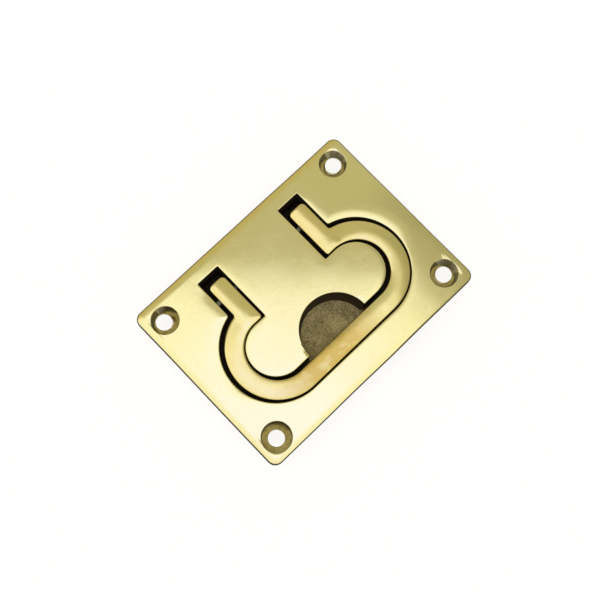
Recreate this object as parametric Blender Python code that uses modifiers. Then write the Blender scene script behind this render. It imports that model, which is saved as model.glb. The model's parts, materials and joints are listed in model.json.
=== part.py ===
"""Flush lifting handle: a cast brass plate with an omega-shaped handle sunk in it, which lifts on two hinge pins.

Frame: +Z points out of the polished face, +X runs along the plate's long side, and +Y runs from the grip bar
to the hinge. The origin is the centre of the seating face, the plate's flat underside, which bears on the
hatch or drawer front. Below it hangs the cast pan, which drops into a mortise.
"""

import math

import bmesh
import bpy
from mathutils import Matrix, Vector

MM = 0.001  # the sizes below are in millimetres, and become metres where a mesh is made

# Plate
PLATE_LENGTH = 75.0
PLATE_WIDTH = 55.0
PLATE_THICKNESS = 2.2
PLATE_CORNER_RADIUS = 2.5
PLATE_EDGE_ROUNDING = 0.8
SCREW_INSET = 6.0
SCREW_HOLE_RADIUS = 2.25
COUNTERSINK_RADIUS = 3.95
WALL = 1.7

# Handle
HANDLE_THICKNESS = 5.6
HANDLE_EDGE_ROUNDING = 0.6
HANDLE_SIDE_PLAY = 0.3  # how far the loose handle has slid along its pins, towards +X
HEEL_CHAMFER = 1.6

# Heights above the seating face
FACE = PLATE_THICKNESS
HANDLE_UNDERSIDE = FACE - HANDLE_THICKNESS
CHANNEL_FLOOR = HANDLE_UNDERSIDE - 0.3
CHANNEL_BACK = CHANNEL_FLOOR - 1.6
DEEP_FLOOR = -6.0
PAN_BACK = -7.5

# Hinge
HINGE_Y = 15.3
HINGE_Z = -1.2
PIN_RADIUS = 1.0
PIN_HOLE_RADIUS = 1.1
LEG_BORE_RADIUS = 1.25
PIN_DOME = 0.3  # the peened ends stand this far out of the casting

# Plan shapes of the channel and of the handle in it: a lobe and a leg, mirrored about X = 0
CHANNEL = {
    "lobe_centre": (15.0, -4.25),
    "outer_radius": 15.05,
    "inner_radius": 8.0,
    "leg_sides": (11.2, 18.5),
    "leg_end": 22.5,
    "armpit_radius": 0.6,
}
HANDLE = {
    "lobe_centre": (15.0, -4.65),
    "outer_radius": 14.25,
    "inner_radius": 8.75,
    "leg_sides": (12.05, 17.7),
    "leg_end": 19.8,
    "armpit_radius": 0.5,
    "end_radius": 1.4,
    "foot_radius": 0.8,
}

# Finger well: a drafted half circle at the grip bar's inner side, which runs on under the bar
WELL_RADIUS = 10.2
WELL_CENTRE_Y = CHANNEL["lobe_centre"][1] - CHANNEL["inner_radius"]
WELL_FRONT_Y = CHANNEL["lobe_centre"][1] - CHANNEL["outer_radius"] + 0.2
WELL_DRAFT = 0.07  # how far the wall leans in for each unit of depth

POCKET_START_Y = 12.0  # the pockets, for the legs' ends to swing down into, run from here to the channel's ends

STEP = 0.2  # deeper parts of the casting stand in by this much, which keeps their walls off the channel's
OVERSHOOT = 1.0  # how far a cutter runs past the face that it opens
ARC_STEP_DEG = 5.0
ROUND_STEPS = 32
WELD_DISTANCE = 1e-6

# Base colour and roughness of each metal
POLISHED_BRASS = ((0.80, 0.62, 0.30), 0.18)
WORN_BRASS = ((0.78, 0.56, 0.26), 0.26)
PIN_STEEL = ((0.62, 0.60, 0.56), 0.35)


def clear_scene():
    for old in list(bpy.data.objects):
        bpy.data.objects.remove(old, do_unlink=True)


def new_collection(name):
    collection = bpy.data.collections.new(name)
    bpy.context.scene.collection.children.link(collection)
    return collection


def metal(name, colour, roughness):
    material = bpy.data.materials.new(name)
    material.use_nodes = True
    shader = material.node_tree.nodes["Principled BSDF"]
    shader.inputs["Base Color"].default_value = (*colour, 1.0)
    shader.inputs["Roughness"].default_value = roughness
    shader.inputs["Metallic"].default_value = 1.0
    return material


# Outlines: lists of (x, y) points


def arc(centre, radius, start_deg, end_deg):
    """Points along an arc, both ends included."""
    steps = max(2, round(abs(end_deg - start_deg) / ARC_STEP_DEG))
    points = []
    for i in range(steps + 1):
        angle = math.radians(start_deg + (end_deg - start_deg) * i / steps)
        points.append((centre[0] + radius * math.cos(angle), centre[1] + radius * math.sin(angle)))
    return points


def fillet(before, corner, after, radius):
    """The corner rounded to a radius, between the straight runs to the points before and after it."""
    if not radius:
        return [corner]
    corner = Vector(corner)
    back = (Vector(before) - corner).normalized()
    ahead = (Vector(after) - corner).normalized()
    half_angle = back.angle(ahead) / 2
    centre = corner + (back + ahead).normalized() * radius / math.sin(half_angle)
    run = radius / math.tan(half_angle)
    first = (corner + back * run - centre).normalized()
    last = (corner + ahead * run - centre).normalized()
    steps = 4
    return [tuple(centre + first.slerp(last, i / steps) * radius) for i in range(steps + 1)]


def rectangle(low, high, radius=0.0):
    corners = [low, (high[0], low[1]), high, (low[0], high[1])]
    points = []
    for i, corner in enumerate(corners):
        points += fillet(corners[i - 1], corner, corners[(i + 1) % 4], radius)
    return points


def omega(shape, grow=0.0):
    """The channel's or the handle's outline: lobes joined by a straight bar, and a leg up from each lobe."""
    lobe_x, lobe_y = shape["lobe_centre"]
    outer_radius = shape["outer_radius"] + grow
    inner_radius = shape["inner_radius"] - grow
    inner_side = shape["leg_sides"][0] - grow
    outer_side = shape["leg_sides"][1] + grow
    end = shape["leg_end"] + grow
    end_radius = shape.get("end_radius", 0.0)

    armpit_deg = math.degrees(math.acos((outer_side - lobe_x) / outer_radius))
    outside = arc(shape["lobe_centre"], outer_radius, -90, armpit_deg)
    inside = arc(shape["lobe_centre"], inner_radius, 90, -90)
    armpit = outside.pop()
    outer_corner = (outer_side, end)
    inner_corner = (inner_side, end)
    foot = (inner_side, lobe_y + inner_radius)

    right = outside + fillet(outside[-1], armpit, outer_corner, shape["armpit_radius"])
    right += fillet(armpit, outer_corner, inner_corner, end_radius)
    right += fillet(outer_corner, inner_corner, foot, end_radius)
    right += fillet(inner_corner, foot, inside[0], shape.get("foot_radius", 0.0))
    right += inside
    return right + [(-x, y) for x, y in reversed(right)]


def well_outline(radius, front_y):
    """A half circle towards the hinge, with straight sides down to the front."""
    return arc((0, WELL_CENTRE_Y), radius, 0, 180) + [(-radius, front_y), (radius, front_y)]


# Solids


def add_object(name, mesh, collection):
    obj = bpy.data.objects.new(name, mesh)
    collection.objects.link(obj)
    return obj


def prism(name, outline, low, high, collection):
    """An outline extruded between two heights."""
    curve = bpy.data.curves.new(name, "CURVE")
    curve.dimensions = "2D"
    curve.fill_mode = "BOTH"
    curve.extrude = (high - low) / 2 * MM
    spline = curve.splines.new("POLY")
    spline.points.add(len(outline) - 1)
    for point, (x, y) in zip(spline.points, outline):
        point.co = (x * MM, y * MM, 0, 1)
    spline.use_cyclic_u = True
    flat = add_object(name + "_outline", curve, collection)
    flat.location.z = (high + low) / 2 * MM

    graph = bpy.context.evaluated_depsgraph_get()
    mesh = bpy.data.meshes.new_from_object(flat.evaluated_get(graph))
    bm = bmesh.new()
    bm.from_mesh(mesh)
    bmesh.ops.remove_doubles(bm, verts=bm.verts, dist=WELD_DISTANCE)
    bm.to_mesh(mesh)
    bm.free()
    solid = add_object(name, mesh, collection)
    solid.location = flat.location
    bpy.data.objects.remove(flat, do_unlink=True)
    return solid


def turned(name, profile, axis, start, collection):
    """A profile of (radius, distance along the axis) points, turned about an axis from a start point."""
    mesh = bpy.data.meshes.new(name)
    bm = bmesh.new()
    points = [bm.verts.new((radius * MM, 0, along * MM)) for radius, along in reversed(profile)]
    for upper, lower in zip(points, points[1:]):
        bm.edges.new((upper, lower))
    bm.to_mesh(mesh)
    bm.free()
    solid = add_object(name, mesh, collection)
    screw = solid.modifiers.new("turned", "SCREW")
    screw.steps = screw.render_steps = ROUND_STEPS
    screw.use_merge_vertices = True
    screw.merge_threshold = WELD_DISTANCE
    solid.rotation_euler = Vector(axis).to_track_quat("Z", "Y").to_euler()
    solid.location = Vector(start) * MM
    return solid


def cylinder(name, radius, length, axis, start, collection):
    return turned(name, [(0, 0), (radius, 0), (radius, length), (0, length)], axis, start, collection)


def combine(target, tool, operation):
    """A Boolean with a tool that shows as a wire and isn't rendered."""
    tool.hide_render = True
    tool.display_type = "WIRE"
    boolean = target.modifiers.new(f"{operation.lower()} {tool.name}", "BOOLEAN")
    boolean.operation = operation
    boolean.object = tool


def add_bevel(obj, width, segments):
    bevel = obj.modifiers.new("rounded edges", "BEVEL")
    bevel.width = width * MM
    bevel.segments = segments
    bevel.angle_limit = math.radians(50)
    return bevel


def bevel_only_top_rim(obj, bevel):
    """Limits a bevel to the edges where the side wall meets the top."""
    bevel.limit_method = "WEIGHT"
    mesh = obj.data
    top = max(vertex.co.z for vertex in mesh.vertices)
    wall_edges = set()
    for face in mesh.polygons:
        if abs(face.normal.z) < 0.5:
            wall_edges.update(face.edge_keys)
    weights = mesh.attributes.new("bevel_weight_edge", "FLOAT", "EDGE")
    for edge, weight in zip(mesh.edges, weights.data):
        is_top = all(mesh.vertices[v].co.z > top - WELD_DISTANCE for v in edge.vertices)
        weight.value = 1.0 if is_top and edge.key in wall_edges else 0.0


def move_origin(obj, point):
    """Puts an object's origin at a point, and leaves its shape where it is."""
    shift = Vector(point) * MM - obj.location
    obj.data.transform(Matrix.Translation(-shift))
    obj.location += shift


def finish(obj, name, material):
    obj.name = name
    obj.data.materials.clear()
    obj.data.materials.append(material)
    obj.data.shade_smooth()
    obj.data.set_sharp_from_angle(angle=math.radians(30))


# The casting


def add_pan(plate, cutters):
    """Hangs the pan on the plate: a trough that follows the channel, and three deeper pads."""
    top = PLATE_THICKNESS / 2
    combine(plate, prism("trough", omega(CHANNEL, WALL), CHANNEL_BACK, top, cutters), "UNION")
    well_pad = well_outline(WELL_RADIUS + WALL - STEP, WELL_FRONT_Y - WALL)
    combine(plate, prism("well_pad", well_pad, PAN_BACK, top, cutters), "UNION")
    reach = WALL - STEP
    for name, low_x, high_x in leg_spans("pocket_pad", reach):
        low = (low_x, POCKET_START_Y - WALL)
        high = (high_x, CHANNEL["leg_end"] + reach)
        combine(plate, prism(name, rectangle(low, high, 1.0), PAN_BACK, top, cutters), "UNION")


def leg_spans(name, grow):
    """A name and the limits in X for each of the channel's two legs, grown or shrunk on both sides."""
    inner, outer = CHANNEL["leg_sides"]
    return [
        (f"{name}_left", -outer - grow, -inner + grow),
        (f"{name}_right", inner - grow, outer + grow),
    ]


def cut_channel(plate, cutters):
    channel = prism("channel", omega(CHANNEL), CHANNEL_FLOOR, FACE + OVERSHOOT, cutters)
    combine(plate, channel, "DIFFERENCE")


def cut_pockets(plate, cutters):
    """Deepens the hinge end of each leg's channel, for the leg's heel."""
    inset = STEP / 2
    for name, low_x, high_x in leg_spans("pocket", -inset):
        outline = rectangle((low_x, POCKET_START_Y), (high_x, CHANNEL["leg_end"] - inset))
        pocket = prism(name, outline, DEEP_FLOOR, CHANNEL_FLOOR + OVERSHOOT, cutters)
        combine(plate, pocket, "DIFFERENCE")


def cut_well(plate, cutters):
    """Cuts the finger well, whose wall leans in towards its floor."""
    top = FACE + OVERSHOOT
    radius = WELL_RADIUS + WELL_DRAFT * OVERSHOOT
    well = prism("finger_well", well_outline(radius, WELL_FRONT_Y), DEEP_FLOOR, top, cutters)
    move_origin(well, (0, WELL_CENTRE_Y, DEEP_FLOOR))
    narrowing = 1 - WELL_DRAFT * (top - DEEP_FLOOR) / radius
    for vertex in well.data.vertices:
        if vertex.co.z < WELD_DISTANCE:
            vertex.co.x *= narrowing
            vertex.co.y *= narrowing
    combine(plate, well, "DIFFERENCE")


def cut_screw_holes(plate, cutters):
    """Four holes for number 8 screws, with 90 degree countersinks."""
    sink_start = FACE - (COUNTERSINK_RADIUS - SCREW_HOLE_RADIUS)
    profile = [
        (0, -OVERSHOOT),
        (SCREW_HOLE_RADIUS, -OVERSHOOT),
        (SCREW_HOLE_RADIUS, sink_start),
        (COUNTERSINK_RADIUS + OVERSHOOT, FACE + OVERSHOOT),
        (0, FACE + OVERSHOOT),
    ]
    x = PLATE_LENGTH / 2 - SCREW_INSET
    y = PLATE_WIDTH / 2 - SCREW_INSET
    for i, (x_sign, y_sign) in enumerate([(-1, -1), (1, -1), (1, 1), (-1, 1)]):
        hole = turned(f"screw_hole_{i + 1}", profile, (0, 0, 1), (x_sign * x, y_sign * y, 0), cutters)
        combine(plate, hole, "DIFFERENCE")


def pin_ends():
    """Distances from the middle of the plate to the inner and outer faces of the walls that hold a pin."""
    inner, outer = CHANNEL["leg_sides"]
    return inner - WALL, outer + WALL


def cut_pin_holes(plate, cutters):
    start, end = pin_ends()
    length = end - start + 2 * OVERSHOOT
    for name, side in (("left", -1), ("right", 1)):
        at = (side * (start - OVERSHOOT), HINGE_Y, HINGE_Z)
        hole = cylinder(f"pin_hole_{name}", PIN_HOLE_RADIUS, length, (side, 0, 0), at, cutters)
        combine(plate, hole, "DIFFERENCE")


def add_base_plate(parts, cutters, material):
    half_length = PLATE_LENGTH / 2
    half_width = PLATE_WIDTH / 2
    outline = rectangle((-half_length, -half_width), (half_length, half_width), PLATE_CORNER_RADIUS)
    plate = prism("plate", outline, 0.0, FACE, parts)
    move_origin(plate, (0, 0, 0))
    bevel_only_top_rim(plate, add_bevel(plate, PLATE_EDGE_ROUNDING, 3))
    add_pan(plate, cutters)
    cut_channel(plate, cutters)
    cut_pockets(plate, cutters)
    cut_well(plate, cutters)
    cut_screw_holes(plate, cutters)
    cut_pin_holes(plate, cutters)
    finish(plate, "base_plate", material)


# The moving handle and its pins


def cut_heels(handle, cutters):
    """Chamfers the underside of the legs' ends, so that the heel of each clears its pocket as it swings down."""
    size = 6.0
    half_chamfer = HEEL_CHAMFER / 2
    reach = size / 2 * math.sqrt(0.5)
    mesh = bpy.data.meshes.new("heel_chamfer")
    bm = bmesh.new()
    bmesh.ops.create_cube(bm, size=1.0)
    bmesh.ops.scale(bm, vec=Vector((8 * size, size, size)) * MM, verts=bm.verts)
    bm.to_mesh(mesh)
    bm.free()
    cutter = add_object("heel_chamfer", mesh, cutters)
    cutter.rotation_euler.x = math.radians(45)
    y = HANDLE["leg_end"] - half_chamfer + reach
    z = HANDLE_UNDERSIDE + half_chamfer - reach
    cutter.location = Vector((0, y, z)) * MM
    combine(handle, cutter, "DIFFERENCE")


def cut_leg_bores(handle, cutters):
    inner, outer = HANDLE["leg_sides"]
    length = outer - inner + 2 * OVERSHOOT
    for name, side in (("left", -1), ("right", 1)):
        at = (side * (inner - OVERSHOOT) + HANDLE_SIDE_PLAY, HINGE_Y, HINGE_Z)
        bore = cylinder(f"leg_bore_{name}", LEG_BORE_RADIUS, length, (side, 0, 0), at, cutters)
        combine(handle, bore, "DIFFERENCE")


def add_handle(parts, cutters, material):
    outline = [(x + HANDLE_SIDE_PLAY, y) for x, y in omega(HANDLE)]
    handle = prism("handle", outline, HANDLE_UNDERSIDE, FACE, parts)
    move_origin(handle, (0, HINGE_Y, HINGE_Z))
    add_bevel(handle, HANDLE_EDGE_ROUNDING, 3)
    cut_heels(handle, cutters)
    cut_leg_bores(handle, cutters)
    finish(handle, "pull_handle", material)


def add_hinge_pins(parts, material):
    """A pin through each leg, held in the casting's walls, with both ends peened to a low dome."""
    start, end = pin_ends()
    length = end - start + 2 * PIN_DOME
    dome_radius = PIN_RADIUS - PIN_DOME
    profile = [
        (0, 0),
        (dome_radius, 0),
        (PIN_RADIUS, PIN_DOME),
        (PIN_RADIUS, length - PIN_DOME),
        (dome_radius, length),
        (0, length),
    ]
    for name, side in (("left", -1), ("right", 1)):
        at = (side * (start - PIN_DOME), HINGE_Y, HINGE_Z)
        pin = turned(f"hinge_pin_{name}", profile, (side, 0, 0), at, parts)
        finish(pin, pin.name, material)


def main():
    clear_scene()
    parts = new_collection("flush_lifting_handle")
    cutters = new_collection("cutters")
    add_base_plate(parts, cutters, metal("polished_brass", *POLISHED_BRASS))
    add_handle(parts, cutters, metal("worn_brass", *WORN_BRASS))
    add_hinge_pins(parts, metal("pin_steel", *PIN_STEEL))


main()
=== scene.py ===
"""Looks of a flush lifting handle: a polished brass casting with an omega-shaped handle sunk in its face.

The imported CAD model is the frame. The casting, the handle and the pins are made again here with soft rims,
crowned surfaces, hand-drilled countersinks and a rough cast well, in the same places and inside its box.
"""

import json
import math

import bmesh
import bpy
from mathutils import Matrix, Vector, noise
from mathutils.geometry import delaunay_2d_cdt


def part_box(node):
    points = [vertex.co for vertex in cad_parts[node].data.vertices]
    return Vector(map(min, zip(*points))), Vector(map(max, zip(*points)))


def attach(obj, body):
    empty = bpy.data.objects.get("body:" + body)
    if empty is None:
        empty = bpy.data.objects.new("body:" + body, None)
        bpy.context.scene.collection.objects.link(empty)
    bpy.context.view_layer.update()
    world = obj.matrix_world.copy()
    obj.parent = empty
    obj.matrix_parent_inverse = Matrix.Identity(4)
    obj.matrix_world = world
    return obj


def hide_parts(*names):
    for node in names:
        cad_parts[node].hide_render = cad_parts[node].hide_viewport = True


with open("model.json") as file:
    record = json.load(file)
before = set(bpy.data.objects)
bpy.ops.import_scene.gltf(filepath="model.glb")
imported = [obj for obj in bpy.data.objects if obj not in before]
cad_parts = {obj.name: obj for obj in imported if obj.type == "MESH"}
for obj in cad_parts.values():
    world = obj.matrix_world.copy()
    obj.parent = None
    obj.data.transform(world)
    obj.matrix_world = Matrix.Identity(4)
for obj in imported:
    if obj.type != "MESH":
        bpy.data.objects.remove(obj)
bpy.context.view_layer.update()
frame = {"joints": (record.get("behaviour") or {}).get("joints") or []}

MM = 0.001  # shapes are worked out in millimetres, and become metres in closed_mesh()

plate_low, plate_high = (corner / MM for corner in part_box("base_plate"))
handle_low, handle_high = (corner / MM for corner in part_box("pull_handle"))
hinge = Vector(frame["joints"][0]["pos_m"]) / MM

# The plate. Its edge is a round that eases into a shallow fall, worn by years of polishing.
FACE = plate_high.z
HALF_LENGTH = plate_high.x
HALF_WIDTH = plate_high.y
PLATE_CORNER_RADIUS = 2.5
OUTLINE_WANDER = 0.2
EDGE_RADIUS = 0.6
EDGE_FALL_REACH = 2.4
EDGE_FALL_SLOPE_DEG = 5.0

# The recess and the walls of the pan behind it
WALL = 1.7
PAN_BACK = plate_low.z
DEEP_FLOOR = PAN_BACK + 1.5
CHANNEL_FLOOR = handle_low.z - 0.3
CHANNEL_BACK = CHANNEL_FLOOR - 1.6
POCKET_START_Y = 12.0
WELL_RADIUS = 10.2
WELL_DRAFT = 0.07
WELL_GRAIN = 0.14
RIM = 0.2

# The dip of the face towards the channel: short and sharp, or deep and wide where both ranges are passed
FALL_REACH = 4.5
FALL_LEVELS = (0.2, 0.45, 0.75, 1.1, 1.5, 2.0, 2.6, 3.3, 4.0)
SHORT_FALL_DEPTH, SHORT_FALL_POWER = 0.03, 7.0
WIDE_FALL_DEPTH, WIDE_FALL_POWER = 0.11, 2.5
FALL_WIDENS_X = (14.0, 18.0)
FALL_WIDENS_Y = (-12.0, -4.0)
FALL_FADES_Y = (17.0, 22.5)

# Profiles of cast and cut shapes: (outward growth, height above the floor or back)
PAN_EDGE = ((-0.7, 0.0), (-0.35, 0.1), (-0.12, 0.35), (0.0, 0.8))
PAN_DRAFT = 0.12
RECESS_FILLET = ((-0.5, 0.0), (-0.15, 0.15), (-0.05, 0.5))
POCKET_FILLET = ((-0.5, 0.0), (-0.15, 0.15), (0.0, 0.5))

# Screw holes: (centre of the hole, centre of its countersink, countersink radius), a little off square
SCREW_HOLE_RADIUS = 2.25
SINK_LIP = 0.12
SCREW_HOLES = (
    ((-31.9, 21.3), (-31.45, 21.2), 3.85),
    ((31.6, 21.6), (31.4, 21.7), 3.8),
    ((-31.5, -21.8), (-31.35, -21.75), 4.2),
    ((31.8, -21.2), (31.75, -21.15), 3.9),
)

# Plan shapes, of which the right half is given
CHANNEL = {
    "lobe": (15.0, -4.25), "outer": 15.05, "inner": 8.0, "leg": (11.2, 18.5), "end": 22.5,
    "armpit": 0.75, "foot": 0.35, "corner": 0.35,
}
HANDLE = {
    "lobe": (15.0, -4.65), "outer": 14.25, "inner": 8.75, "leg": (12.05, 17.7), "end": 19.8,
    "armpit": 0.6, "foot": 0.8, "corner": 1.4,
}
SIDE_PLAY = (handle_low.x + handle_high.x) / 2
WELL_CENTRE_Y = CHANNEL["lobe"][1] - CHANNEL["inner"]
WELL_FRONT_Y = CHANNEL["lobe"][1] - CHANNEL["outer"] + 0.2

# The handle's edges, as (inset, distance from its underside or its top), and its top
HANDLE_UNDER = ((0.75, 0.0), (0.4, 0.1), (0.12, 0.36), (0.0, 0.75))
HANDLE_OVER = ((0.0, 0.5), (0.04, 0.28), (0.12, 0.12), (0.26, 0.035), (0.45, 0.0))
TOP_STEP = 0.22
TOP_STEPS = 10
HALF_BAND = (HANDLE["leg"][1] - HANDLE["leg"][0]) / 2
RIDGE_X = 15.9
RIDGE_BEGINS_Y = (2.0, 10.0)
RIDGE_FALL_IN = 0.020
RIDGE_FALL_OUT = 0.038
RING_FALL = 0.10
FILING = 0.022
HEEL_CHAMFER = 1.6

# Hinge pins
PIN_RADIUS = 1.0
PIN_HOLE_RADIUS = 1.1
LEG_BORE_RADIUS = 1.25
PIN_DOME = 0.3

# How finely the shapes are divided
LOBE_STEPS = 48
WELL_STEPS = 32
CORNER_STEPS = 6
RUN_STEPS = 12
HOLE_STEPS = 96
PIN_STEPS = 48
PIN_HOLE_STEPS = 32
TIGHTEST = 0.08
WELD = 1e-6

# Polished brass: how its hairlines run, its pits, and how bare and golden places differ from the rest
POLISHING_DEG = (12, 47, 101, 148)
PIT_COLOUR = (0.16, 0.11, 0.05)
BARE_SHARES = (0.73, 0.63, 0.38)
# GOLD_SHARES also colours the painted reflection along the plate's +Y edge.
GOLD_SHARES = (1.0, 0.90, 0.60)

# The studio. A direction is placed on its ceiling by how far it leans to X and Y for one unit of rise.
CORNER_OF_WINDOW = 0.225
SIDE_OF_WINDOW = 0.24
CEILING = (
    (-3.5, (0.24, 0.19, 0.12)),
    (-1.2, (0.50, 0.49, 0.47)),
    (-0.5, (0.90, 0.89, 0.84)),
    (-0.011, (1.0, 1.0, 0.90)),
    (0.011, (0.51, 0.485, 0.35)),
    (0.12, (0.51, 0.49, 0.32)),
    (0.5, (0.48, 0.45, 0.29)),
    (1.5, (0.56, 0.54, 0.42)),
)
SURROUND_RISE, SURROUND_STRENGTH = (0.1, 0.8), (0.16, 1.12)
SCREEN_X, SCREEN_Y, SCREEN_STRENGTH = (0.262, 0.280), (0.165, 0.135), 0.80
SKYLIGHT_TOWARDS = (0.059, 0.052, 1.0)
SKYLIGHT_SPREAD_DEG = 9.5
SKYLIGHT_COLOUR = (0.04, 0.10, 0.75, 1.0)
BACKDROP_COLOUR = (0.95, 0.95, 0.95, 1.0)
FLOOR_GAP = 0.05

# The camera, as directions from the plate in degrees and distances in millimetres
CAMERA_LENS = 66.0
CAMERA_SENSOR = 36.0
CAMERA_AZIMUTH_DEG = -141.8
CAMERA_ELEVATION_DEG = 78.3
CAMERA_DISTANCE = 295.0
CAMERA_TARGET = (-1.6, 0.4)
CAMERA_UP_AZIMUTH_DEG = 46.1


# Plan outlines, as lists of (x, y)


def arc(centre, radius, start_deg, end_deg, steps=CORNER_STEPS):
    points = []
    for i in range(steps + 1):
        angle = math.radians(start_deg + (end_deg - start_deg) * i / steps)
        points.append((centre[0] + radius * math.cos(angle), centre[1] + radius * math.sin(angle)))
    return points


def joined(*stretches):
    """Stretches of points end to end, with each straight run between them divided into steps."""
    points = list(stretches[0])
    for stretch in stretches[1:]:
        start, end = Vector(points[-1]), Vector(stretch[0])
        points += [tuple(start.lerp(end, i / RUN_STEPS)) for i in range(1, RUN_STEPS)]
        points += stretch
    return points


def omega(shape, grow=0.0):
    """The omega band, grown or shrunk all round by a true offset, always with the same number of points."""
    lobe_x, lobe_y = shape["lobe"]
    outer, inner = shape["outer"] + grow, shape["inner"] - grow
    leg_in, leg_out = shape["leg"][0] - grow, shape["leg"][1] + grow
    end = shape["end"] + grow
    armpit = max(shape["armpit"] - grow, TIGHTEST)
    foot = max(shape["foot"] + grow, TIGHTEST)
    corner = max(shape["corner"] + grow, TIGHTEST)

    fillet_x = leg_out + armpit
    fillet_y = lobe_y + math.sqrt((outer + armpit) ** 2 - (fillet_x - lobe_x) ** 2)
    meet_deg = math.degrees(math.atan2(fillet_y - lobe_y, fillet_x - lobe_x))
    lobe = arc(shape["lobe"], outer, -90, meet_deg, LOBE_STEPS)
    right = joined(
        [(0.0, lobe_y - outer)],
        lobe + arc((fillet_x, fillet_y), armpit, meet_deg + 180, 180)[1:],
        arc((leg_out - corner, end - corner), corner, 0, 90),
        arc((leg_in + corner, end - corner), corner, 90, 180),
        arc((leg_in + foot, lobe_y + inner + foot), foot, 180, 270),
        arc(shape["lobe"], inner, 90, -90, LOBE_STEPS),
        [(0.0, lobe_y - inner)],
    )
    return right + [(-x, y) for x, y in reversed(right[1:-1])]


def rectangle(low, high, radius, grow=0.0):
    x0, y0, x1, y1 = low[0] - grow, low[1] - grow, high[0] + grow, high[1] + grow
    r = max(radius + grow, TIGHTEST)
    corners = (
        arc((x1 - r, y0 + r), r, -90, 0), arc((x1 - r, y1 - r), r, 0, 90),
        arc((x0 + r, y1 - r), r, 90, 180), arc((x0 + r, y0 + r), r, 180, 270),
    )
    return joined(*corners, [corners[0][0]])[:-1]


def plate_outline(grow):
    """The plate's outline, filed by hand, so that it wanders a little way inside its full size."""
    full = rectangle((-HALF_LENGTH, -HALF_WIDTH), (HALF_LENGTH, HALF_WIDTH), PLATE_CORNER_RADIUS, grow)
    points = []
    for x, y in full:
        inward = OUTLINE_WANDER * (0.5 + 0.5 * noise.noise(Vector((x, y, 3)) / 14.0))
        points.append((x * (1 - inward / HALF_LENGTH), y * (1 - inward / HALF_WIDTH)))
    return points


def well(grow=0.0, flare=0.3):
    """A half circle whose ends flare into the channel, and straight sides that run on under the grip bar."""
    radius = WELL_RADIUS + grow
    turn = max(flare - grow, TIGHTEST)
    meet = math.asin(turn / (radius + turn))
    meet_deg = math.degrees(meet)
    turn_x = (radius + turn) * math.cos(meet)
    half = [(turn_x, WELL_FRONT_Y - grow)]
    half += arc((turn_x, WELL_CENTRE_Y + turn), turn, 270, 180 + meet_deg)
    half += arc((0, WELL_CENTRE_Y), radius, meet_deg, 90, WELL_STEPS)[1:]
    return half + [(-x, y) for x, y in reversed(half[:-1])]


# Solids


def closed_mesh(name, rings, material, curved_top=False):
    """A closed solid skinned over rings of points in millimetres, from the lowest to the highest.

    A curved top is filled with small triangles, so that it follows its ring.
    """
    bm = bmesh.new()
    verts = [[bm.verts.new(Vector(point) * MM) for point in ring] for ring in rings]
    for lower, upper in zip(verts, verts[1:]):
        for i in range(len(lower)):
            bm.faces.new((lower[i - 1], lower[i], upper[i], upper[i - 1]))
    bm.faces.new(reversed(verts[0]))
    if curved_top:
        fill_with_triangles(bm, rings[-1], verts[-1])
    else:
        bm.faces.new(verts[-1])
    bmesh.ops.remove_doubles(bm, verts=bm.verts, dist=WELD)
    return finished_object(name, bm, material)


def fill_with_triangles(bm, ring, verts):
    """Closes a ring of points, seen from above, with triangles between its own vertices."""
    flat = [Vector(point[:2]) for point in ring]
    edges = [((i - 1) % len(ring), i) for i in range(len(ring))]
    inside_triangles = 1
    filled = delaunay_2d_cdt(flat, edges, [], inside_triangles, WELD)
    triangles, came_from = filled[2], filled[3]
    for triangle in triangles:
        bm.faces.new([verts[came_from[i][0]] for i in triangle])


def finished_object(name, bm, material):
    bmesh.ops.recalc_face_normals(bm, faces=bm.faces)
    mesh = bpy.data.meshes.new(name)
    bm.to_mesh(mesh)
    bm.free()
    mesh.materials.append(material)
    return add_object(name, mesh)


def add_object(name, mesh):
    obj = bpy.data.objects.new(name, mesh)
    bpy.context.scene.collection.objects.link(obj)
    return obj


def loft(name, outline, levels, material, height=None):
    """A solid through outline(grow) at many levels of (grow, z).

    height(x, y, grow, z), where there is one, gives each point its own z.
    """
    rings = []
    for grow, z in levels:
        rings.append([(x, y, height(x, y, grow, z) if height else z) for x, y in outline(grow)])
    return closed_mesh(name, rings, material, curved_top=height is not None)


def turned(name, profile, axis, start, material, steps, ripple=None):
    """A profile of (radius, distance along the axis), turned about an axis. ripple(angle) scales radii."""
    turn = Vector(axis).to_track_quat("Z", "Y").to_matrix()
    rings = []
    for radius, along in profile:
        ring = []
        for i in range(steps):
            angle = 2 * math.pi * i / steps
            r = radius * (ripple(angle) if ripple else 1.0)
            point = Vector((r * math.cos(angle), r * math.sin(angle), along))
            ring.append(Vector(start) + turn @ point)
        rings.append(ring)
    return closed_mesh(name, rings, material)


def combine(target, tool, operation):
    """Applies a Boolean at once. The faces it makes keep the tool's material."""
    boolean = target.modifiers.new(operation, "BOOLEAN")
    boolean.operation = operation
    boolean.object = tool
    boolean.solver = "MANIFOLD"
    boolean.material_mode = "TRANSFER"
    graph = bpy.context.evaluated_depsgraph_get()
    mesh = bpy.data.meshes.new_from_object(target.evaluated_get(graph))
    target.modifiers.clear()
    target.data = mesh
    bpy.data.objects.remove(tool, do_unlink=True)


def repaint(obj, material, chosen):
    """Gives a material to the faces for which chosen(centre, normal, present material) holds."""
    mesh = obj.data
    if material.name not in mesh.materials:
        mesh.materials.append(material)
    index = mesh.materials.find(material.name)
    for face in mesh.polygons:
        if chosen(face.center / MM, face.normal, mesh.materials[face.material_index]):
            face.material_index = index


def shade(obj, angle_deg):
    """Smooth shading that stays flat on large faces, sharp above an angle."""
    obj.data.shade_smooth()
    obj.data.set_sharp_from_angle(angle=math.radians(angle_deg))
    normals = obj.modifiers.new("weighted normals", "WEIGHTED_NORMAL")
    normals.keep_sharp = True
    normals.weight = 80


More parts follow.
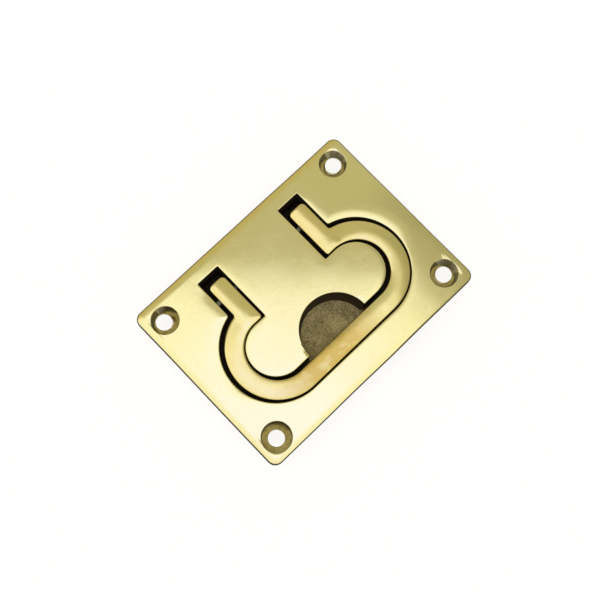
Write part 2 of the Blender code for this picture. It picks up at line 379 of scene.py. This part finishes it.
def smooth_step(value, low, high):
    """0 up to low, 1 from high on, and a smooth rise between them."""
    share = min(max((value - low) / (high - low), 0.0), 1.0)
    return share * share * (3 - 2 * share)


# Materials


def node(tree, kind, inputs=None, **settings):
    """A shader node. inputs maps a socket's name or number to a value, or to another node's output."""
    made = tree.nodes.new(kind)
    for name, value in settings.items():
        setattr(made, name, value)
    for name, value in (inputs or {}).items():
        if isinstance(value, bpy.types.NodeSocket):
            tree.links.new(value, made.inputs[name])
        else:
            made.inputs[name].default_value = value
    return made


def new_material(name, **settings):
    material = bpy.data.materials.new(name)
    material.use_nodes = True
    shader = material.node_tree.nodes["Principled BSDF"]
    for key, value in settings.items():
        shader.inputs[key.replace("_", " ")].default_value = value
    return material, material.node_tree, shader


def cloud(tree, size_mm, detail=2.0, roughness=0.5, seed=0.0, turn_deg=0.0):
    """Noise from 0 to 1. size_mm is the size of its blobs, or three sizes for long or flat ones."""
    sizes = size_mm if isinstance(size_mm, tuple) else (size_mm, size_mm, size_mm)
    place = {
        "Vector": node(tree, "ShaderNodeTexCoord").outputs["Object"],
        "Rotation": (0, 0, math.radians(turn_deg)),
        "Scale": tuple(size * MM for size in sizes),
    }
    vector = node(tree, "ShaderNodeMapping", place, vector_type="TEXTURE").outputs["Vector"]
    inputs = {"Vector": vector, "W": seed, "Scale": 1.0, "Detail": detail, "Roughness": roughness}
    return node(tree, "ShaderNodeTexNoise", inputs, noise_dimensions="4D").outputs["Fac"]


def ranged(tree, value, low, high, to_low=0.0, to_high=1.0):
    inputs = {"Value": value, "From Min": low, "From Max": high, "To Min": to_low, "To Max": to_high}
    return node(tree, "ShaderNodeMapRange", inputs).outputs["Result"]


def calc(tree, operation, first, second=0.0):
    return node(tree, "ShaderNodeMath", {0: first, 1: second}, operation=operation).outputs[0]


def times(tree, first, second):
    return calc(tree, "MULTIPLY", first, second)


def total(tree, values):
    result = values[0]
    for value in values[1:]:
        result = calc(tree, "ADD", result, value)
    return result


def blend_colour(tree, factor, first, second):
    made = node(tree, "ShaderNodeMix", {"Factor": factor}, data_type="RGBA")
    for socket, value in ((made.inputs[6], first), (made.inputs[7], second)):
        if isinstance(value, bpy.types.NodeSocket):
            tree.links.new(value, socket)
        else:
            socket.default_value = (*value, 1.0)
    return made.outputs[2]


def specks(tree, spacing_mm, radius, seed):
    """Small spots, 1 inside and 0 outside, about spacing_mm apart. radius is a share of the spacing."""
    place = node(tree, "ShaderNodeTexCoord").outputs["Object"]
    inputs = {"Vector": place, "W": seed, "Scale": 1 / (spacing_mm * MM)}
    far = node(tree, "ShaderNodeTexVoronoi", inputs, voronoi_dimensions="4D").outputs["Distance"]
    return ranged(tree, far, radius, radius * 0.6)


def hairlines(tree, turn_deg, length_mm, width_mm, share, seed):
    """Long thin marks, all in one direction, on about the given share of the surface."""
    lines = cloud(tree, (length_mm, width_mm, length_mm), 0.0, 0.5, seed, turn_deg)
    return ranged(tree, lines, 0.72 - share, 0.78 - share)


def place_parts(tree):
    place = node(tree, "ShaderNodeTexCoord").outputs["Object"]
    return node(tree, "ShaderNodeSeparateXYZ", {0: place}).outputs


def painted_reflection_by_far_edge(tree, reach_mm):
    """Where a painted reflection goes: 1 at the plate's +Y edge, falling to 0 at reach_mm inside it."""
    return ranged(tree, place_parts(tree)["Y"], (HALF_WIDTH - reach_mm) * MM, HALF_WIDTH * MM)


def on_grip(tree, seed):
    """1 on patches along the grip bar, which fingers have worn most on the -X side, and 0 elsewhere."""
    parts = place_parts(tree)
    from_middle = calc(tree, "ABSOLUTE", calc(tree, "ADD", parts["X"], 6 * MM))
    middle = ranged(tree, from_middle, 19 * MM, 7 * MM)
    bar = ranged(tree, parts["Y"], (WELL_CENTRE_Y + 1) * MM, (WELL_CENTRE_Y - 2) * MM)
    patches = ranged(tree, cloud(tree, (4, 2.4, 4), 3, 0.6, seed), 0.18, 0.52)
    return times(tree, times(tree, middle, bar), patches)


def add_bump(tree, shader, height_mm):
    """Dents and swellings of the surface, from a height in millimetres."""
    inputs = {"Height": times(tree, height_mm, MM), "Distance": 1.0, "Strength": 1.0}
    tree.links.new(node(tree, "ShaderNodeBump", inputs).outputs["Normal"], shader.inputs["Normal"])


def polished_brass(name, pale, deep, roughness, ripple_mm, mottling, seed, grip=0.0):
    """Hand-polished cast brass: soft ripples, hairlines, pits, golden patches, a painted golden reflection
    along the +Y edge, and a shine that wanders.

    grip is how far the lacquer has worn off the grip bar, down to deeper gold.
    """
    material, tree, shader = new_material(name, Metallic=1.0)
    drift = ranged(tree, cloud(tree, 22, 2, 0.5, seed), 0.35, 0.65)
    mottle = ranged(tree, cloud(tree, 2.2, 5, 0.65, seed + 1), 0.4, 0.7)
    pitted_areas = ranged(tree, cloud(tree, 9, 1, 0.5, seed), 0.5, 0.55)
    pits = times(tree, specks(tree, 2.6, 0.06, seed + 2), pitted_areas)
    colour = blend_colour(tree, times(tree, drift, 0.5), pale, deep)
    colour = blend_colour(tree, times(tree, mottle, mottling), colour, deep)
    bare = tuple(channel * share for channel, share in zip(deep, BARE_SHARES))
    colour = blend_colour(tree, times(tree, on_grip(tree, seed + 6), grip), colour, bare)

    # Painted reflection: a golden band along the plate's +Y edge, mixed with golden patches of the brass
    # itself.
    gold = times(tree, painted_reflection_by_far_edge(tree, 3.0), 0.8)
    gold = total(tree, [gold, cloud(tree, 1.8, 4, 0.6, seed + 5), -0.5])
    gold = ranged(tree, gold, 0.05, 0.8)
    golden = tuple(channel * share for channel, share in zip(deep, GOLD_SHARES))
    colour = blend_colour(tree, gold, colour, golden)
    colour = blend_colour(tree, times(tree, pits, 0.75), colour, PIT_COLOUR)
    tree.links.new(colour, shader.inputs["Base Color"])

    smudge = cloud(tree, 7, 3, 0.6, seed + 3)
    smudge = ranged(tree, smudge, 0.3, 0.75, roughness * 0.8, roughness * 1.3)
    marks = [hairlines(tree, turn_deg, 12, 0.14, 0.05, seed + 4 + turn_deg) for turn_deg in POLISHING_DEG]
    scuffs = total(tree, marks)
    rough = total(tree, [smudge, times(tree, scuffs, 0.04), times(tree, pits, 0.3), times(tree, gold, 0.08)])
    tree.links.new(rough, shader.inputs["Roughness"])

    ripples = times(tree, cloud(tree, 13, 1.5, 0.4, seed + 9), ripple_mm)
    peel = times(tree, cloud(tree, 0.9, 2, 0.5, seed + 10), ripple_mm * 0.02)
    grooves = times(tree, scuffs, -0.0004)
    holes = times(tree, pits, -0.02)
    add_bump(tree, shader, total(tree, [ripples, peel, grooves, holes]))
    return material


def cast_brass(name, light, dark, roughness, grain_mm, depth_mm, metallic, seed):
    """Brass as it left the sand mould: grainy, dull and tarnished. Its near-black colours in the channel and
    on the plate's sides are partly painted shade.
    """
    material, tree, shader = new_material(name, Metallic=metallic, Roughness=roughness)
    patches = cloud(tree, 3.5, 4, 0.65, seed)
    grains = cloud(tree, grain_mm, 3, 0.7, seed + 1)
    tone = total(tree, [times(tree, patches, 0.35), times(tree, grains, 0.65)])
    colour = blend_colour(tree, ranged(tree, tone, 0.38, 0.63), dark, light)
    tree.links.new(colour, shader.inputs["Base Color"])
    add_bump(tree, shader, times(tree, grains, depth_mm))
    return material


def drilled_brass(name, light, dark, seed):
    """The countersinks: drilled, never polished, and browned in patches."""
    material, tree, shader = new_material(name, Metallic=1.0)
    patches = ranged(tree, cloud(tree, 1.8, 4, 0.6, seed), 0.35, 0.65)
    tree.links.new(blend_colour(tree, patches, dark, light), shader.inputs["Base Color"])
    tree.links.new(ranged(tree, patches, 0.0, 1.0, 0.17, 0.10), shader.inputs["Roughness"])
    rings = cloud(tree, (30, 30, 0.22), 1, 0.5, seed + 2)
    grain = cloud(tree, 0.4, 3, 0.7, seed + 1)
    add_bump(tree, shader, total(tree, [times(tree, rings, 0.008), times(tree, grain, 0.004)]))
    return material


def drawn_steel(name, light, dark, seed):
    """Drawn steel wire, gone grey."""
    material, tree, shader = new_material(name, Metallic=1.0)
    streaks = cloud(tree, (1.6, 0.25, 0.25), 2, 0.5, seed)
    tree.links.new(blend_colour(tree, streaks, dark, light), shader.inputs["Base Color"])
    tree.links.new(ranged(tree, streaks, 0.3, 0.7, 0.38, 0.6), shader.inputs["Roughness"])
    return material


PLATE_BRASS = polished_brass(
    "plate_brass", pale=(0.90, 0.82, 0.46), deep=(0.88, 0.77, 0.38),
    roughness=0.06, ripple_mm=0.03, mottling=0.12, seed=1,
)
HANDLE_BRASS = polished_brass(
    "handle_brass", pale=(0.88, 0.78, 0.39), deep=(0.82, 0.65, 0.25),
    roughness=0.10, ripple_mm=0.02, mottling=0.25, seed=21, grip=0.9,
)
# The plate's sides: unpolished brass, darkened to near-black as painted shade, far darker than the back.
SIDE_BRASS_PAINTED_SHADE = cast_brass(
    "side_brass_painted_shade", light=(0.07, 0.04, 0.014), dark=(0.02, 0.01, 0.004),
    roughness=0.5, grain_mm=0.5, depth_mm=0.04, metallic=0.9, seed=50,
)
# The channel and the pockets behind the legs: tarnished cast brass, darkened to near-black as painted shade
# in these deep, narrow hollows.
CHANNEL_BRASS_PAINTED_SHADE = cast_brass(
    "channel_brass_painted_shade", light=(0.10, 0.07, 0.04), dark=(0.03, 0.02, 0.012),
    roughness=0.75, grain_mm=0.5, depth_mm=0.08, metallic=0.6, seed=60,
)
# The finger well's walls: near-black cast brass, far darker than the well's floor.
WELL_WALL_BRASS = cast_brass(
    "well_wall_brass", light=(0.09, 0.065, 0.03), dark=(0.025, 0.018, 0.01),
    roughness=0.7, grain_mm=0.5, depth_mm=0.10, metallic=0.6, seed=65,
)
WELL_BRASS = cast_brass(
    "well_brass", light=(1.0, 0.85, 0.45), dark=(0.20, 0.145, 0.06),
    roughness=0.62, grain_mm=0.33, depth_mm=0.20, metallic=0.7, seed=70,
)
PAN_BRASS = cast_brass(
    "pan_brass", light=(0.50, 0.38, 0.17), dark=(0.24, 0.16, 0.07),
    roughness=0.6, grain_mm=0.6, depth_mm=0.12, metallic=0.85, seed=80,
)
SINK_BRASS = drilled_brass("countersink_brass", light=(0.62, 0.56, 0.32), dark=(0.40, 0.34, 0.16), seed=90)
PIN_STEEL = drawn_steel("pin_steel", light=(0.42, 0.39, 0.33), dark=(0.16, 0.14, 0.11), seed=40)


# The casting


def face_plate():
    """The plate, whose face falls away towards its rounded edge."""
    start_slope = math.radians(EDGE_FALL_SLOPE_DEG)
    eased = EDGE_RADIUS * (1 - math.sin(start_slope))
    steepness = math.tan(start_slope) / (2 * (EDGE_FALL_REACH - eased))
    profile = []
    for i in range(9):
        inset = EDGE_FALL_REACH + (eased - EDGE_FALL_REACH) * i / 8
        profile.append((inset, steepness * (EDGE_FALL_REACH - inset) ** 2))
    fallen = profile[-1][1]
    for slope_deg in (16, 26, 38, 52, 68, 84):
        slope = math.radians(slope_deg)
        drop = fallen + EDGE_RADIUS * (math.cos(start_slope) - math.cos(slope))
        profile.append((EDGE_RADIUS * (1 - math.sin(slope)), drop))
    levels = [(-0.15, 0.0), (0.0, 0.2)] + [(-inset, FACE - drop) for inset, drop in reversed(profile)]
    return loft("casting", plate_outline, levels, PLATE_BRASS)


def hollow(floor, fall=False):
    """Levels of a cutter: a small fillet at its floor, plain walls, and a flare that leaves a round rim.

    With a fall, the levels go on outwards along the face, for channel_fall() to lower.
    """
    wall = RECESS_FILLET[-1][0]
    levels = [(grow, floor + rise) for grow, rise in RECESS_FILLET]
    levels.append((wall, FACE - RIM))
    for turn_deg in (20, 40, 60, 78):
        turn = math.radians(turn_deg)
        levels.append((RIM * (1 - math.cos(turn)) + wall, FACE - RIM * (1 - math.sin(turn))))
    if fall:
        levels += [(reach, FACE) for reach in FALL_LEVELS]
        return levels + [(FALL_REACH, FACE + 0.001), (FALL_REACH, FACE + 1.0)]
    return levels + [(RIM, FACE + 0.02), (RIM, FACE + 1.0)]


def channel_fall(x, y, grow, z):
    """The dip of the face towards the channel that a polishing wheel leaves, widest outside the legs."""
    if z < FACE - RIM - 0.001:
        return z
    from_lobe = math.hypot(abs(x) - CHANNEL["lobe"][0], y - CHANNEL["lobe"][1])
    outside = smooth_step(from_lobe, CHANNEL["inner"], CHANNEL["inner"] + 3.0)
    wide = outside * smooth_step(abs(x), *FALL_WIDENS_X) * smooth_step(y, *FALL_WIDENS_Y)
    depth = SHORT_FALL_DEPTH + (WIDE_FALL_DEPTH - SHORT_FALL_DEPTH) * wide
    power = SHORT_FALL_POWER + (WIDE_FALL_POWER - SHORT_FALL_POWER) * wide
    fading = 1 - 0.9 * smooth_step(y, *FALL_FADES_Y)
    return z - depth * fading * (1 - max(grow, 0.0) / FALL_REACH) ** power


def pan(casting):
    """The trough behind the channel and the deeper pads, with a casting's drafted walls and soft edges."""

    def levels(back):
        return [(grow, back + rise) for grow, rise in PAN_EDGE] + [(PAN_DRAFT, FACE / 2)]

    def trough(grow):
        return omega(CHANNEL, WALL - 0.15 + grow)

    def well_pad(grow):
        return well(WALL - 0.35 + grow)

    combine(casting, loft("trough", trough, levels(CHANNEL_BACK), PAN_BRASS), "UNION")
    combine(casting, loft("well_pad", well_pad, levels(PAN_BACK), PAN_BRASS), "UNION")
    for side in (-1, 1):
        low, high = beside_leg(side, WALL - 0.3, POCKET_START_Y - WALL)

        def pocket_pad(grow):
            return rectangle(low, high, 1.2, grow)

        combine(casting, loft("pocket_pad", pocket_pad, levels(PAN_BACK), PAN_BRASS), "UNION")


def beside_leg(side, grow, start_y):
    """Low and high corners of a rectangle round the channel's leg on one side, from start_y to its end."""
    x = sorted((side * (CHANNEL["leg"][0] - grow), side * (CHANNEL["leg"][1] + grow)))
    return (x[0], start_y), (x[1], CHANNEL["end"] + grow)


def rough_block(low, high, floor, top, spacing, depth, material):
    """A block whose underside is a sand-cast surface."""
    bm = bmesh.new()
    segments = [round((high[axis] - low[axis]) / spacing) for axis in (0, 1)]
    bmesh.ops.create_grid(bm, x_segments=segments[0], y_segments=segments[1], size=0.5)
    for vertex in bm.verts:
        x = low[0] + (vertex.co.x + 0.5) * (high[0] - low[0])
        y = low[1] + (vertex.co.y + 0.5) * (high[1] - low[1])
        grain = noise.fractal(Vector((x, y, 0)) / 0.9, 0.9, 2.1, 4)
        sag = noise.noise(Vector((x, y, 5)) / 6.0)
        vertex.co = Vector((x, y, floor + depth * (grain + sag))) * MM
    rim = [edge for edge in bm.edges if edge.is_boundary]
    walls = bmesh.ops.extrude_edge_only(bm, edges=rim)["geom"]
    for item in walls:
        if isinstance(item, bmesh.types.BMVert):
            item.co.z = top * MM
    bmesh.ops.contextual_create(bm, geom=[edge for edge in bm.edges if edge.is_boundary])
    return finished_object("rough_block", bm, material)


def cut_recess(casting):
    def channel(grow):
        return omega(CHANNEL, grow)

    levels = hollow(CHANNEL_FLOOR, fall=True)
    combine(casting, loft("channel", channel, levels, CHANNEL_BRASS_PAINTED_SHADE, channel_fall), "DIFFERENCE")

    levels = [(grow, DEEP_FLOOR + rise) for grow, rise in POCKET_FILLET] + [(0.0, CHANNEL_FLOOR + 1.0)]
    for side in (-1, 1):
        low, high = beside_leg(side, -0.15, POCKET_START_Y)

        def pocket(grow):
            return rectangle(low, high, 0.6, grow)

        combine(casting, loft("pocket", pocket, levels, CHANNEL_BRASS_PAINTED_SHADE), "DIFFERENCE")

    levels = [(grow - WELL_DRAFT * max(FACE - z, 0.0), z) for grow, z in hollow(DEEP_FLOOR - 0.6)]
    finger_well = loft("well", well, levels, WELL_WALL_BRASS)
    reach = WELL_RADIUS + 2
    low, high = (-reach, WELL_FRONT_Y - 1), (reach, WELL_CENTRE_Y + reach)
    rough_floor = rough_block(low, high, DEEP_FLOOR + 0.15, FACE + 2, 0.3, WELL_GRAIN, WELL_BRASS)
    combine(finger_well, rough_floor, "INTERSECT")
    combine(casting, finger_well, "DIFFERENCE")


def cut_screw_holes(casting):
    """Countersinks that wobble a little, with a worn lip, and holes that aren't quite central in them."""

    def wobble(angle):
        return 1 + 0.006 * math.sin(2 * angle + 0.7) + 0.003 * math.sin(11 * angle)

    for hole, sink, radius in SCREW_HOLES:
        drill = [(SCREW_HOLE_RADIUS, PAN_BACK), (SCREW_HOLE_RADIUS, FACE + 1)]
        cutter = turned("drill", drill, (0, 0, 1), (*hole, 0), SINK_BRASS, HOLE_STEPS)
        combine(casting, cutter, "DIFFERENCE")
        cone = [(1.0, FACE - radius + 1.0), (radius - 0.1, FACE - 0.1), (radius, FACE - 0.03)]
        cone += [(radius + SINK_LIP, FACE + 0.01), (radius + SINK_LIP, FACE + 1)]
        cutter = turned("countersink", cone, (0, 0, 1), (*sink, 0), SINK_BRASS, HOLE_STEPS, wobble)
        combine(casting, cutter, "DIFFERENCE")


def pin_walls():
    """How far from the middle the outer faces of the walls beside a leg are."""
    return CHANNEL["leg"][0] - WALL, CHANNEL["leg"][1] + WALL


def cut_pin_holes(casting):
    start, end = pin_walls()
    for side in (-1, 1):
        profile = [(PIN_HOLE_RADIUS, 0), (PIN_HOLE_RADIUS, end - start + 2)]
        at = (side * (start - 1), hinge.y, hinge.z)
        cutter = turned("pin_hole", profile, (side, 0, 0), at, CHANNEL_BRASS_PAINTED_SHADE, PIN_HOLE_STEPS)
        combine(casting, cutter, "DIFFERENCE")


def paint_casting(casting):
    """The recess's rims were polished with the face, and the sides and the back never were. The sides are
    darkened to near-black as painted shade.
    """

    def is_rim(centre, normal, present):
        return centre.z > FACE - RIM - WIDE_FALL_DEPTH and present in (CHANNEL_BRASS_PAINTED_SHADE, WELL_WALL_BRASS)

    def is_side(centre, normal, present):
        return present == PLATE_BRASS and normal.z < 0.72 and abs(centre.z) > 0.05

    def is_back(centre, normal, present):
        return present == PLATE_BRASS and normal.z < -0.3

    repaint(casting, PLATE_BRASS, is_rim)
    repaint(casting, SIDE_BRASS_PAINTED_SHADE, is_side)
    repaint(casting, PAN_BRASS, is_back)


def make_casting():
    casting = face_plate()
    pan(casting)
    cut_recess(casting)
    cut_screw_holes(casting)
    cut_pin_holes(casting)
    paint_casting(casting)
    shade(casting, 32)
    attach(casting, "base")
    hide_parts("base_plate")


# The handle and its pins


def handle_top(x, y, grow, z):
    """The crown: a low arch round the ring, and along each leg a ridge that is nearer its outer side."""
    if z < FACE - 1.0:
        return z
    across = min(abs(x - SIDE_PLAY), HANDLE["leg"][1]) - RIDGE_X
    ridge = across ** 2 * (RIDGE_FALL_IN if across < 0 else RIDGE_FALL_OUT)
    ring = RING_FALL * (1 + grow / HALF_BAND) ** 2
    leg = smooth_step(y, *RIDGE_BEGINS_Y)
    filed = FILING * (0.5 + 0.5 * noise.noise(Vector((x, y, 9)) / 5.0))
    return z - ridge * leg - ring * (1 - leg) - filed


def make_handle():
    edge = HANDLE_OVER[-1][0]
    levels = [(-inset, handle_low.z + rise) for inset, rise in HANDLE_UNDER]
    levels += [(-inset, FACE - drop) for inset, drop in HANDLE_OVER]
    levels += [(-(edge + TOP_STEP * i), FACE) for i in range(1, TOP_STEPS + 1)]

    def outline(grow):
        return [(x + SIDE_PLAY, y) for x, y in omega(HANDLE, grow)]

    handle = loft("handle", outline, levels, HANDLE_BRASS, handle_top)

    start_y, end_y = HANDLE["end"] - HEEL_CHAMFER, HANDLE["end"] + 10.4
    reach = handle_high.x + 1

    def wedge(grow):
        return [(-reach, start_y + grow), (reach, start_y + grow), (reach, end_y), (-reach, end_y)]

    levels = [(-2, handle_low.z - 2), (HEEL_CHAMFER + 2, handle_low.z + HEEL_CHAMFER + 2)]
    combine(handle, loft("heel", wedge, levels, HANDLE_BRASS), "DIFFERENCE")
    for side in (-1, 1):
        start = HANDLE["leg"][0] - 1
        profile = [(LEG_BORE_RADIUS, 0), (LEG_BORE_RADIUS, HANDLE["leg"][1] - start + 1)]
        at = (side * start + SIDE_PLAY, hinge.y, hinge.z)
        cutter = turned("bore", profile, (side, 0, 0), at, CHANNEL_BRASS_PAINTED_SHADE, PIN_HOLE_STEPS)
        combine(handle, cutter, "DIFFERENCE")
    shade(handle, 38)
    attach(handle, "handle")
    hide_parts("pull_handle")


def make_pins():
    start, end = pin_walls()
    length = end - start + 2 * PIN_DOME
    dome = [(0.05, 0.0), (0.45, 0.03), (0.75, 0.12), (0.93, 0.24), (PIN_RADIUS, 0.42)]
    profile = dome + [(radius, length - along) for radius, along in reversed(dome)]
    for name, side in (("left", -1), ("right", 1)):
        at = (side * (start - PIN_DOME), hinge.y, hinge.z)
        pin = turned(f"pin_{name}", profile, (side, 0, 0), at, PIN_STEEL, PIN_STEPS)
        shade(pin, 50)
        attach(pin, "base")
        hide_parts(f"hinge_pin_{name}")


# Floor, light and camera


def make_floor():
    material, tree, shader = new_material("floor", Base_Color=(0.35, 0.35, 0.35, 1.0), Roughness=0.9)
    shader.inputs["Emission Color"].default_value = (1.0, 1.0, 1.0, 1.0)
    shader.inputs["Emission Strength"].default_value = 0.82
    bm = bmesh.new()
    bmesh.ops.create_grid(bm, x_segments=1, y_segments=1, size=2.5)
    floor = finished_object("floor", bm, material)
    floor.location.z = (PAN_BACK - FLOOR_GAP) * MM


def ramp(tree, value, stops):
    """A colour that changes smoothly with a value. Each stop is (value, (red, green, blue))."""
    low, high = stops[0][0], stops[-1][0]
    made = node(tree, "ShaderNodeValToRGB", {0: ranged(tree, value, low, high)})
    made.color_ramp.interpolation = "EASE"
    elements = made.color_ramp.elements
    while len(elements) < len(stops):
        elements.new(0.5)
    for element, (at, colour) in zip(elements, stops):
        element.position = (at - low) / (high - low)
        element.color = (*colour, 1.0)
    return made.outputs["Color"]


def make_light():
    """A studio lit from overhead and from -X -Y, with a dimmer, warmer wall beyond that window.

    The surround is dark low down, and a screen dims a part of it on the +X side. Where the floor ends, the
    camera sees a plain pale backdrop.
    """
    world = bpy.data.worlds.new("studio")
    bpy.context.scene.world = world
    world.use_nodes = True
    tree = world.node_tree
    direction = node(tree, "ShaderNodeTexCoord").outputs["Generated"]
    parts = node(tree, "ShaderNodeSeparateXYZ", {0: direction}).outputs
    rise = calc(tree, "MAXIMUM", parts["Z"], 0.05)
    lean_x = calc(tree, "DIVIDE", parts["X"], rise)
    lean_y = calc(tree, "DIVIDE", parts["Y"], rise)

    towards_corner = times(tree, calc(tree, "ADD", lean_x, lean_y), math.sqrt(0.5))
    past_corner = calc(tree, "SUBTRACT", towards_corner, CORNER_OF_WINDOW)
    past_side = calc(tree, "SUBTRACT", lean_x, SIDE_OF_WINDOW)
    past_window = calc(tree, "MAXIMUM", past_corner, past_side)
    surround = ranged(tree, parts["Z"], *SURROUND_RISE, *SURROUND_STRENGTH)
    screen = times(tree, ranged(tree, lean_x, *SCREEN_X), ranged(tree, lean_y, *SCREEN_Y))
    surround = times(tree, surround, ranged(tree, screen, 0.0, 1.0, 1.0, SCREEN_STRENGTH))
    sky = tree.nodes["Background"]
    tree.links.new(ramp(tree, past_window, CEILING), sky.inputs["Color"])
    tree.links.new(surround, sky.inputs["Strength"])

    aligned = {0: direction, 1: Vector(SKYLIGHT_TOWARDS).normalized()}
    facing = node(tree, "ShaderNodeVectorMath", aligned, operation="DOT_PRODUCT").outputs["Value"]
    near = ranged(tree, facing, math.cos(math.radians(SKYLIGHT_SPREAD_DEG)), 1.0)
    skylight = {"Color": SKYLIGHT_COLOUR, "Strength": times(tree, near, near)}
    skylight = node(tree, "ShaderNodeBackground", skylight)
    both = node(tree, "ShaderNodeAddShader", {0: sky.outputs[0], 1: skylight.outputs[0]})

    backdrop = node(tree, "ShaderNodeBackground", {"Color": BACKDROP_COLOUR})
    seen_directly = node(tree, "ShaderNodeLightPath").outputs["Is Camera Ray"]
    light = node(tree, "ShaderNodeMixShader", {0: seen_directly, 1: both.outputs[0], 2: backdrop.outputs[0]})
    tree.links.new(light.outputs[0], tree.nodes["World Output"].inputs["Surface"])


def level_direction(azimuth_deg):
    azimuth = math.radians(azimuth_deg)
    return Vector((math.cos(azimuth), math.sin(azimuth), 0))


def make_camera():
    camera = add_object("camera", bpy.data.cameras.new("camera"))
    camera.data.lens = CAMERA_LENS
    camera.data.sensor_width = CAMERA_SENSOR
    camera.data.clip_start = 0.01
    elevation = math.radians(CAMERA_ELEVATION_DEG)
    outwards = level_direction(CAMERA_AZIMUTH_DEG) * math.cos(elevation)
    outwards.z = math.sin(elevation)
    place = Vector((0, 0, FACE)) + outwards * CAMERA_DISTANCE
    back = (place - Vector((*CAMERA_TARGET, FACE))).normalized()
    right = level_direction(CAMERA_UP_AZIMUTH_DEG).cross(back).normalized()
    turn = Matrix((right, back.cross(right), back)).transposed()
    camera.matrix_world = Matrix.Translation(place * MM) @ turn.to_4x4()
    bpy.context.scene.camera = camera
    bpy.context.scene.view_settings.view_transform = "Standard"


make_casting()
make_handle()
make_pins()
make_floor()
make_light()
make_camera()
